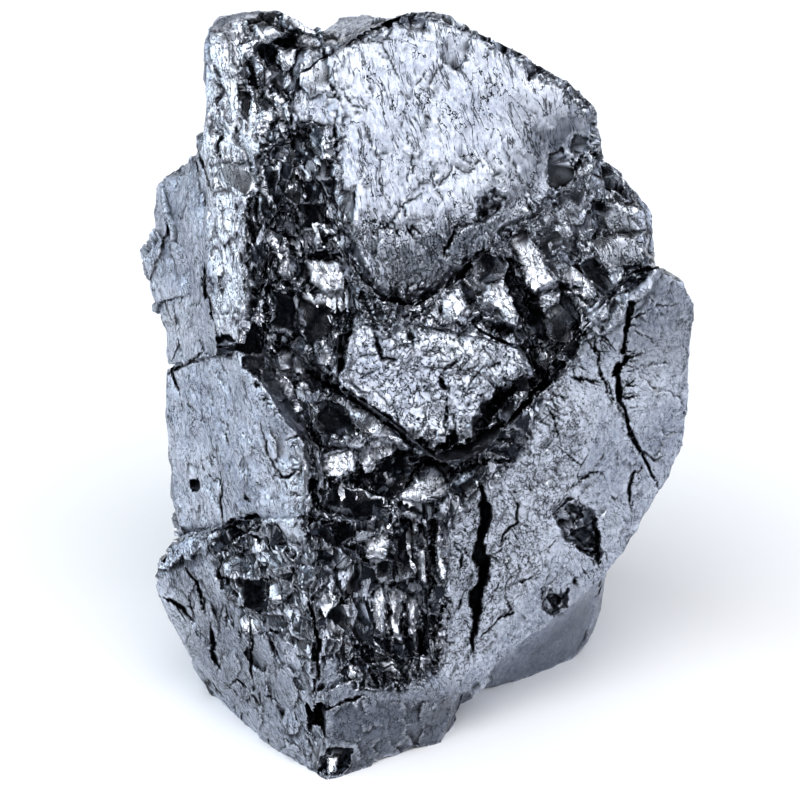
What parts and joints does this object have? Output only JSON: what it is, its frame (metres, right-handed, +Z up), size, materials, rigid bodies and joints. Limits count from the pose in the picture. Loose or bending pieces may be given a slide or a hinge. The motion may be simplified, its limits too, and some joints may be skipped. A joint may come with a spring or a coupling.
{
  "type": "shungite hand specimen",
  "caption": "Rough broken lump of glassy black shungite with stepped satin plates, a shard-lined hollow down its front and a flat base to stand on.",
  "frame": {"origin": "middle of the bounding box's underside, on the surface the lump stands on", "axes": "+Z up, the lump's longest extent; -Y the side of the broad broken face, which leans back 30 degrees; +X to the right as seen from that side"},
  "size_m": [0.055, 0.048, 0.0692],
  "materials": {
    "shungite": "broken, satin plates and glassy fracture faces with a half-metallic lustre"
  },
  "bodies": {
    "root": {"shungite": "shungite"}
  },
  "joints": []
}
